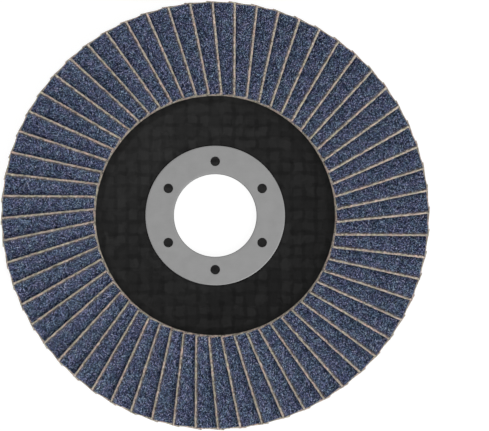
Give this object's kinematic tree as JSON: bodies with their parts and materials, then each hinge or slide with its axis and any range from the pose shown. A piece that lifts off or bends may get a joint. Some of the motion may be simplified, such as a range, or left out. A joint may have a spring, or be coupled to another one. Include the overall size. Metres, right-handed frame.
{
  "type": "flap disc",
  "caption": "Flat grinding disc: overlapping abrasive cloth flaps glued round a dished backing plate, with a steel ring at the bore.",
  "frame": {"origin": "on the bore's axis, in the plane of the hub's back face", "axes": "+Z along the bore's axis, from the hub's back face towards the abrasive side; +X and +Y are the picture's right and up"},
  "size_m": [0.1148, 0.1148, 0.0149],
  "materials": {
    "backing_laminate": "moulded glass-fibre laminate in black phenolic resin, with the weave of the glass cloth showing",
    "plated_steel": "thin pressed steel sheet, zinc plated, satin grey",
    "adhesive": "cured black resin adhesive",
    "abrasive_cloth": "slate blue abrasive grain in size coat on tan cloth, with bare cut edges"
  },
  "bodies": {
    "root": {"backing_plate": "backing_laminate", "steel_ring": "plated_steel", "adhesive_bed": "adhesive", "flap_pair_01": "abrasive_cloth", "flap_pair_02": "abrasive_cloth", "flap_pair_03": "abrasive_cloth", "flap_pair_04": "abrasive_cloth", "flap_pair_05": "abrasive_cloth", "flap_pair_06": "abrasive_cloth", "flap_pair_07": "abrasive_cloth", "flap_pair_08": "abrasive_cloth", "flap_pair_09": "abrasive_cloth", "flap_pair_10": "abrasive_cloth", "flap_pair_11": "abrasive_cloth", "flap_pair_12": "abrasive_cloth", "flap_pair_13": "abrasive_cloth", "flap_pair_14": "abrasive_cloth", "flap_pair_15": "abrasive_cloth", "flap_pair_16": "abrasive_cloth", "flap_pair_17": "abrasive_cloth", "flap_pair_18": "abrasive_cloth", "flap_pair_19": "abrasive_cloth", "flap_pair_20": "abrasive_cloth", "flap_pair_21": "abrasive_cloth", "flap_pair_22": "abrasive_cloth", "flap_pair_23": "abrasive_cloth", "flap_pair_24": "abrasive_cloth", "flap_pair_25": "abrasive_cloth", "flap_pair_26": "abrasive_cloth", "flap_pair_27": "abrasive_cloth", "flap_pair_28": "abrasive_cloth", "flap_pair_29": "abrasive_cloth", "flap_pair_30": "abrasive_cloth"}
  },
  "joints": []
}
